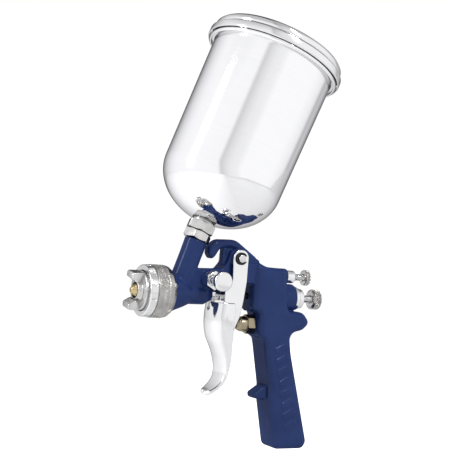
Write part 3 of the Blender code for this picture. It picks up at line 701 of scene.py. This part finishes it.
def rear_controls():
    needle = along_needle()
    upper = along_needle(PATTERN_Z)
    place(turned("fluid_bush", [
        (2.9, 100.2), (6.6, 100.2, 0.6), (7.2, 97.6, 0.8), (7.4, 96.2, 0.2), (8.1, 95.6, 0.3),
        (8.1, 92.8, 0.3), (6.5, 92.8, 0), (6.5, 84.4), (2.9, 84.4),
    ], needle, 96, 0.2, True), "fluid_bushing", "gun", "satin_nickel", "chrome")
    place(turned("fluid_rod", [(0, 113.4), (2.6, 113.4, 0.4), (2.6, 75.4, 0.4), (0, 75.4)],
                 needle, 72, 0.3, relief=thread(1.0, 0.35, 96, 109), longest=0.14),
          "fluid_stem", "fluid_screw", "stainless_steel")
    knob = turned("fluid_grip", [
        (0, 115), (5.6, 115, 0.7), (7.0, 114.2, 0.5), (7.0, 109.6, 0.3), (5.4, 108.4, 0.4), (0, 108.4),
    ], needle, 360, 0.2, relief=knurl(52, 1.3, 0.4, 109.9, 114.0), longest=0.2)
    place(cut(knob, rod("fluid_knob_bore", 2.9, 107, 113.8, needle, 48)),
          "fluid_knob", "fluid_knob", "satin_nickel")

    place(turned("pattern_bush", [
        (2.6, 93.3), (3.9, 93.3, 0.4), (4.4, 92.4, 0.3), (4.4, 86.8, 0.2), (3.3, 86.7, 0), (3.3, 76.5),
        (2.6, 76.5),
    ], upper, 96, 0.2, True), "pattern_bushing", "gun", "satin_nickel", "chrome")
    place(turned("pattern_rod", [
        (0, 104), (2.3, 104, 0.3), (2.3, 78, 0), (1.5, 76, 0), (1.5, 62, 0), (0.6, 60, 0), (0, 60),
    ], upper, 72, 0.2, relief=thread(1.0, 0.3, 90, 102), longest=0.14),
          "pattern_stem", "pattern_screw", "stainless_steel")
    knob = turned("pattern_grip", [
        (0, 105.4), (4.4, 105.4, 0.5), (5.4, 104.7, 0.4), (5.4, 102.0, 0.3), (4.6, 101.4, 0.3), (0, 101.4),
    ], upper, 300, 0.2, relief=knurl(42, 1.2, 0.34, 102.2, 104.6), longest=0.2)
    place(cut(knob, rod("pattern_knob_bore", 2.6, 100, 104.4, upper, 48)),
          "pattern_knob", "pattern_knob", "satin_nickel")


def side_controls():
    axis = along_side()
    base = hexagon("side_base", 11.0, 10.3, 16.2, axis)
    join(base, rod("side_shank", 3.8, 4.3, 11, axis))
    cut(base, rod("side_base_bore", 2.3, 3, 18, axis, 40))
    place(base, "side_bushing", "gun", "chrome")
    place(turned("side_rod", [
        (0, 26.4), (2.0, 26.4, 0.3), (2.0, 4.8, 0), (1.2, 4.0, 0), (1.2, -2.4, 0), (0, -3),
    ], axis, 60, 0.2, relief=thread(1.0, 0.28, 12, 24), longest=0.15),
          "side_stem", "side_screw", "stainless_steel")
    knob = turned("side_grip", [
        (0, 28.6), (5.4, 28.6, 0.9), (6.3, 28.1, 0.9), (6.3, 25.0, 0.5), (5.8, 24.5, 0.3), (4.2, 24.4, 0.5),
        (3.8, 18.6, 0.3), (0, 18.6),
    ], axis, 120, 0.3)
    place(cut(knob, rod("side_knob_bore", 2.3, 18, 26.9, axis, 40)), "side_knob", "side_knob", "chrome")


def air_valve():
    axis = along_needle(VALVE_Z)
    nut = turned("gland", [
        (0, 66), (5.3, 66), (5.3, 63.2, 0), (5.3, 56.4, 0.8), (4.9, 53.4, 2), (3.4, 50.2, 1.4),
        (2.4, 49.2, 0.4), (2.4, 48.6, 0.2), (0, 48.6),
    ], axis, 96, 0.2)
    join(nut, hexagon("gland_flats", 11.6, 57.2, 63.3, axis, 0.7, radians(18)))
    cut(nut, rod("gland_bore", 1.9, 47, 67, axis, 40))
    place(nut, "air_valve_nut", "gun", "brass")
    place(turned("valve_rod", [
        (0, 72.8), (4.2, 72.8), (4.4, 72.6), (4.4, 71.2), (3.4, 70.6), (1.6, 70.6), (1.6, 33.6, 0.5),
        (1.2, 32.8, 0.4), (0, 32.6),
    ], axis, 48, 0.1), "air_valve_stem", "air_valve", "stainless_steel")


# ---- springs --------------------------------------------------------------

def coil(name, radius, wire, low, high, turns, matrix):
    """A compression spring with closed ends, from low to high in mm."""
    around, count = 10, int(turns * 28)
    closed = 0.6                    # turns that lie nearly flat at each end
    creep = 0.06                    # share of the height that rises evenly, flat ends included
    shape = bmesh.new()
    rings = []
    for i in range(count + 1):
        turn = turns * i / count
        rise = min(1.0, max(0.0, (turn - closed) / (turns - 2 * closed)))
        height = low + wire + (high - low - 2 * wire) * ((1 - creep) * rise + creep * turn / turns)
        spin = 2 * pi * turn
        ring = []
        for k in range(around):
            tilt = 2 * pi * k / around
            reach = radius + wire * cos(tilt)
            spot = (reach * cos(spin), reach * sin(spin), height + wire * sin(tilt))
            ring.append(shape.verts.new([value * MM for value in spot]))
        rings.append(ring)
    for first, second in zip(rings, rings[1:]):
        for k in range(around):
            n = (k + 1) % around
            shape.faces.new((first[k], first[n], second[n], second[k]))
    shape.faces.new(rings[0])
    shape.faces.new(rings[-1])
    return piece_from(name, shape, matrix)


def springs():
    """A closed-end coil for each spring between its two ends; each coil stays where it is built and moves with
    nothing.
    """
    for cad_node, body, radius, wire, low, high, turns, z in (
        ("needle_spring", "needle", 4.7, 0.45, 68.3, 84.1, 6.5, 0),
        ("air_valve_spring", "air_valve", 4.0, 0.4, 73.1, 86.2, 6, VALVE_Z),
    ):
        axis = along_needle(z)
        ends = [axis @ Vector((0, 0, height * MM)) for height in (low, high)]
        spring = coil(cad_node + "_coil", radius, wire, low, high, turns, axis)
        place(spring, cad_node, (body, "gun", *ends), "stainless_steel", angle=60)


# ---- trigger --------------------------------------------------------------

# blade sections down to the toe: height, front edge, half width, depth of the
# round front, and rear edge of the side walls
BLADE = (
    (-5.0, 31.2, 10.9, 8.0, 42.5),
    (-12.0, 30.4, 10.9, 8.0, 43.0),
    (-21.0, 30.6, 10.8, 8.0, 42.6),
    (-29.0, 32.6, 10.3, 7.0, 42.9),
    (-36.0, 36.2, 9.6, 4.8, 43.4),
    (-43.0, 39.2, 8.8, 2.8, 43.6),
    (-50.0, 40.7, 8.1, 1.6, 42.9),
    (-56.0, 40.0, 7.6, 1.2, 41.4),
    (-60.4, 37.3, 7.0, 0.8, 38.3),
    (-63.4, 34.0, 6.0, 0.6, 34.8),
    (-64.9, 31.6, 4.4, 0.4, 32.2),
    (-65.4, 30.4, 1.6, 0.2, 30.8),
)


def between(rows, per_row):
    """Smooth sections between the given ones."""
    made = []
    last = len(rows) - 1
    for i in range(last):
        a, b, c, d = (Vector(rows[max(0, min(last, k))]) for k in (i - 1, i, i + 1, i + 2))
        for k in range(per_row):
            t = k / per_row
            squared = (2 * a - 5 * b + 4 * c - d) * t * t
            cubed = (3 * b - a - 3 * c + d) * t ** 3
            made.append(0.5 * (2 * b + (c - a) * t + squared + cubed))
    return made + [Vector(rows[-1])]


def blade():
    shape = bmesh.new()
    count = 28
    rows = []
    for z, front, width, depth, rear in between(BLADE, 6):
        row = [(rear, -width)]
        for i in range(count + 1):
            angle = pi * (i / count - 0.5)
            across = abs(sin(angle)) ** 0.8 * (1 if angle > 0 else -1)
            row.append((front + depth * (1 - max(0.0, cos(angle)) ** 0.8), width * across))
        row.append((rear, width))
        rows.append([shape.verts.new((x * MM, y * MM, z * MM)) for x, y in row])
    for upper, lower in zip(rows, rows[1:]):
        for i in range(len(upper) - 1):
            shape.faces.new((upper[i], lower[i], lower[i + 1], upper[i + 1]))
    made = piece_from("blade", shape, at(), False)
    sheet = made.modifiers.new("sheet", "SOLIDIFY")
    sheet.thickness = 1.75 * MM
    sheet.offset = -1
    sheet.use_even_offset = True
    return made


def trigger():
    arms = []
    for side in (-1, 1):
        arms.append(plate(f"arm_{side}", [
            (39.3, 30.8, 5.4), (50.8, 30.8, 5.4), (50.6, 10, 20), (49, -4, 10), (47.3, -13.5, 8),
            (42.9, -24, 6), (42.4, -32, 1), (39.2, -32, 1), (38.6, -8, 3), (34.8, -6, 1.2),
            (34.8, 3.4, 1.6), (39.8, 9, 6),
        ], 0.85, side_view(side * 10.3)))
    made = heap("trigger_skin", [*arms, blade(), box("yoke", (1.7, 19.8, 10), (47.8, 0, 0))])
    cast(made, 0.3, 12)
    cut(
        made,
        rod("trigger_hole", 2.9, -13, 13, across_pivot(), 48),
        box("needle_slot", (4, 4.0, 10), (47.8, 0, -2.8)),
        box("tool_slot", (6, 2.2, 6), (31, 0, -6)),
        rod("tool_hole", 2.0, 26, 36, along_needle(-9), 32),
    )
    place(made, "trigger", "trigger", "chrome", angle=45)


def pivot():
    axis = across_pivot()
    place(turned("pin", [
        (0, 13.2), (2.6, 13.2, 0.35), (2.6, 12.5, 0.05), (1.9, 12.4, 0), (1.9, 11.3, 0), (2.6, 11.2, 0),
        (2.6, -11.4, 0), (4.2, -11.5, 0.3), (4.2, -12.8, 0.5), (0, -12.8),
    ], axis, 64, 0), "trigger_pin", "gun", "stainless_steel")
    clip = turned("clip", [
        (2.2, 12.15, 0.1), (4.2, 12.15, 0.15), (4.2, 11.45, 0.15), (2.2, 11.45, 0.1),
    ], axis, 96, 0.1, True)
    cut(clip, box("clip_mouth", (6, 3, 3.4), (PIVOT_X + 4, -11.8, PIVOT_Z)))
    place(clip, "e_clip", "gun", "black_plastic", "dark_steel")


# ---- cup ------------------------------------------------------------------

CUP_RADIUS, CUP_WALL = 41.0, 1.5
DOME_TOP, DOME_DEPTH, OUTLET_HOLE = 84.0, 33.2, 8.0


def dome(radius, depth):
    """The cup's round bottom, from its wall down to the outlet's hole."""
    count = 40
    step = acos(OUTLET_HOLE / radius) / count
    return [(radius * cos(step * i), DOME_TOP - depth * sin(step * i), 0) for i in range(count + 1)]


def cup():
    axis = along_cup()
    outer = dome(CUP_RADIUS, DOME_DEPTH)
    inner = dome(CUP_RADIUS - CUP_WALL, DOME_DEPTH - CUP_WALL)
    place(turned("cup_shell", [
        (42.2, 172.4, 0.3), (46.0, 172.4, 0.4), (46.6, 171.9, 0.5), (46.6, 170.4, 0.6), (45.8, 169.6, 0.4),
        (44.9, 169.6, 0.3), (44.7, 171.2, 0.1), (43.2, 171.2, 0.1), (42.8, 168.4, 0.5),
        *outer, *inner[::-1],
    ], axis, 256, 0.3, True), "cup_body", "cup", "polished_aluminium", angle=50)

    outlet = hexagon("outlet", 17.2, 43.8, 50.2, axis, turn=radians(12))
    join(outlet, turned("outlet_pipe", [
        (0, 54.2), (7.4, 54.2), (7.6, 54), (7.6, 49, 0), (5.9, 44.5, 0), (5.9, 37.8),
        (3.9, 37.6), (3.9, 28), (0, 28),
    ], axis, 96, 0.2))
    cut(outlet, rod("outlet_bore", 2.9, 27, 56, axis, 48))
    place(outlet, "cup_outlet", "cup", "chrome", "cast_nickel")

    nut = hexagon("union", 16.4, 37.8, 43.4, axis, turn=radians(-8))
    cut(nut, rod("union_bore", 6.2, 36, 45, axis, 64))
    place(nut, "union_nut", "union", "chrome", "cast_nickel")

    lid = turned("lid_shell", [
        (0, 186.2), (24, 185.6, 4), (40, 184.4, 3), (44.4, 183.4, 2), (46.2, 181.6, 2), (46.4, 179.4, 1),
        (46.2, 178.1, 0.2), (44.8, 177.9, 0.1), (44.8, 177.2, 0.1), (47.6, 177.1, 0.4), (48.2, 176.5, 0.5),
        (48.2, 172.7, 0.4), (47.9, 172.0, 0.2), (47.3, 172.0, 0.1), (47.2, 174.0, 0), (41.7, 174.0, 0.1),
        (41.7, 167.0, 0.3), (40.2, 167.0, 0.3), (40.2, 178, 1), (36, 182, 1), (24, 183.6, 1), (0, 184.2),
    ], axis, 256, 0.3)
    cut(lid, rod("vent_hole", 2.5, 180, 190, axis, 48))
    place(lid, "cup_lid", "lid", "polished_aluminium", "spun_aluminium", angle=50)
    place(turned("vent", [
        (0, 190), (4.6, 190, 0.8), (5.4, 189, 0.6), (5.4, 186.6, 0.2), (2.2, 186.5, 0), (2.2, 183, 0.3),
        (0, 183),
    ], axis, 96, 0.2, relief=ridges(24, 0.25, 186.8, 189.2), longest=0.3),
          "vent_plug", "lid", "black_plastic")


# ---- what stays from the CAD model, with a better finish -----------------

def inner_pieces():
    slots = {entry["node"]: entry["material_slot"] for entry in frame["record"]["subparts"]}
    for name, thing in frame["nodes"].items():
        if thing.hide_render:
            continue
        for index in range(len(thing.material_slots)):
            thing.material_slots[index].material = LOOKS[slots[name]]


# ---- studio ---------------------------------------------------------------

def camera():
    """The photograph's view, level with the gun and a little in front of its side."""
    elevation, roll = radians(-1.06), radians(4.35)
    spot = at(-304.6, -631.8, 29.4)
    back = Vector((
        sin(CAMERA_AZIMUTH) * cos(elevation), -cos(CAMERA_AZIMUTH) * cos(elevation), sin(elevation),
    ))
    data = bpy.data.cameras.new("camera")
    data.sensor_width = 36
    data.lens = 83.3
    data.clip_start = 0.01
    thing = bpy.data.objects.new("camera", data)
    turn = (-back).to_track_quat("-Z", "Y").to_matrix().to_4x4()
    thing.matrix_world = spot @ turn @ Matrix.Rotation(roll, 4, "Z")
    bpy.context.scene.collection.objects.link(thing)
    bpy.context.scene.camera = thing


def lamp(name, spot, aim, size, power, mirrored):
    data = bpy.data.lights.new(name, "AREA")
    data.shape = "RECTANGLE"
    data.size, data.size_y = size
    data.energy = power
    thing = bpy.data.objects.new(name, data)
    thing.location = spot
    thing.rotation_mode = "QUATERNION"
    thing.rotation_quaternion = (aim - spot).to_track_quat("-Z", "Y")
    thing.visible_glossy = mirrored
    bpy.context.scene.collection.objects.link(thing)


def sky():
    """A white studio with soft grey gaps between its panels, which polished metal shows."""
    world = bpy.data.worlds.new("studio")
    world.use_nodes = True
    bpy.context.scene.world = world
    tree = world.node_tree
    link = tree.links.new
    where = node(tree, "ShaderNodeTexCoord")
    turn = node(tree, "ShaderNodeMapping", Rotation=(0, 0, radians(90) - CAMERA_AZIMUTH))
    split = node(tree, "ShaderNodeSeparateXYZ")
    link(where.outputs["Generated"], turn.inputs["Vector"])
    link(turn.outputs["Vector"], split.inputs["Vector"])
    angle = node(tree, "ShaderNodeMath", operation="ARCTAN2")
    link(split.outputs["Y"], angle.inputs[0])
    link(split.outputs["X"], angle.inputs[1])
    share = node(tree, "ShaderNodeMapRange", **{"From Min": -pi, "From Max": pi})
    link(angle.outputs["Value"], share.inputs["Value"])
    panels = node(tree, "ShaderNodeValToRGB")
    stops = (       # degrees round from the camera's side, and brightness
        (-180, 0.20), (-164, 0.28), (-152, 0.74), (-135, 0.88), (-105, 0.98), (-60, 1.0), (-12, 0.97),
        (-5, 0.66), (2, 0.76), (12, 0.86), (24, 0.90), (34, 1.0), (90, 1.0), (118, 0.93), (128, 0.60),
        (140, 0.85), (152, 0.70), (165, 0.26), (180, 0.20),
    )
    while len(panels.color_ramp.elements) < len(stops):
        panels.color_ramp.elements.new(0.5)
    for element, (degrees, value) in zip(panels.color_ramp.elements, stops):
        element.position = degrees / 360 + 0.5
        element.color = (value, value, min(1.0, value * 1.015), 1)
    link(share.outputs["Result"], panels.inputs["Fac"])

    mirror = tree.nodes["Background"]       # what polished metal shows, dimmer overhead
    height = node(tree, "ShaderNodeMapRange", **{
        "From Min": 0.58, "From Max": 0.80, "To Min": 1.06, "To Max": 0.64,
    })
    link(split.outputs["Z"], height.inputs["Value"])
    link(height.outputs["Result"], mirror.inputs["Strength"])
    link(panels.outputs["Color"], mirror.inputs["Color"])
    soft = node(tree, "ShaderNodeBackground", Color=(0.96, 0.97, 1.0, 1), Strength=0.24)
    plain = node(tree, "ShaderNodeBackground", Color=(1, 1, 1, 1), Strength=1.02)
    ray = node(tree, "ShaderNodeLightPath")
    shine = node(tree, "ShaderNodeMixShader")
    link(ray.outputs["Is Glossy Ray"], shine.inputs["Fac"])
    link(soft.outputs["Background"], shine.inputs[1])
    link(mirror.outputs["Background"], shine.inputs[2])
    seen = node(tree, "ShaderNodeMixShader")
    link(ray.outputs["Is Camera Ray"], seen.inputs["Fac"])
    link(shine.outputs["Shader"], seen.inputs[1])
    link(plain.outputs["Background"], seen.inputs[2])
    link(seen.outputs["Shader"], tree.nodes["World Output"].inputs["Surface"])
    bpy.context.scene.view_settings.view_transform = "Standard"


def ground(centre, height):
    """A pale floor. In reflections it is brighter on the camera's left."""
    shape = bmesh.new()
    bmesh.ops.create_grid(shape, x_segments=1, y_segments=1, size=1.6)
    spot = Matrix.Translation((centre.x, centre.y, height)) @ Matrix.Rotation(CAMERA_AZIMUTH, 4, "Z")
    made = piece_from("floor", shape, spot)
    look = finish_of("floor_pale", (0.30, 0.30, 0.303), (0.33, 0.33, 0.33), 0.0, (0.6, 0.8), 3, 0.0, 50)
    tree, shader = nodes_of(look)
    shader.inputs["Emission Color"].default_value = (1, 1, 1, 1)
    across = node(tree, "ShaderNodeSeparateXYZ")
    tree.links.new(node(tree, "ShaderNodeTexCoord").outputs["Object"], across.inputs["Vector"])
    mirrored = node(tree, "ShaderNodeMapRange", **{
        "From Min": -0.12, "From Max": 0.06, "To Min": 0.88, "To Max": 0.60,
    })
    tree.links.new(across.outputs["X"], mirrored.inputs["Value"])
    ray = node(tree, "ShaderNodeLightPath")
    glow = node(tree, "ShaderNodeMapRange", **{"To Min": 0.30})
    tree.links.new(ray.outputs["Is Glossy Ray"], glow.inputs["Value"])
    tree.links.new(mirrored.outputs["Result"], glow.inputs["To Max"])
    bright = node(tree, "ShaderNodeMath", operation="ADD")
    tree.links.new(glow.outputs["Result"], bright.inputs[0])
    tree.links.new(ray.outputs["Is Camera Ray"], bright.inputs[1])
    tree.links.new(bright.outputs["Value"], shader.inputs["Emission Strength"])
    made.data.materials.append(look)


def studio():
    """Two narrow lamps that polished metal shows, two broad ones that it doesn't, a floor and the sky."""
    low, high = CAD_BOX
    centre = (low + high) / 2
    lamp("key", centre + Vector((0.15, -1.1, 0.95)), centre, (0.14, 0.6), 10, True)
    lamp("edge", centre + Vector((-1.2, 0.1, 0.45)), centre, (0.28, 0.9), 7, True)
    lamp("fill", centre + Vector((0.95, -0.6, 0.3)), centre, (0.5, 0.8), 2, False)
    lamp("back", centre + Vector((0.3, 1.0, 0.8)), centre, (0.9, 0.6), 4, False)
    ground(centre, low.z - 0.06)
    sky()


camera()
gun_body()
air_inlet_bushing()
fluid_nozzle()
fluid_needle()
retaining_ring()
air_cap()
packing_nut()
rear_controls()
side_controls()
air_valve()
springs()
trigger()
pivot()
cup()
inner_pieces()
studio()
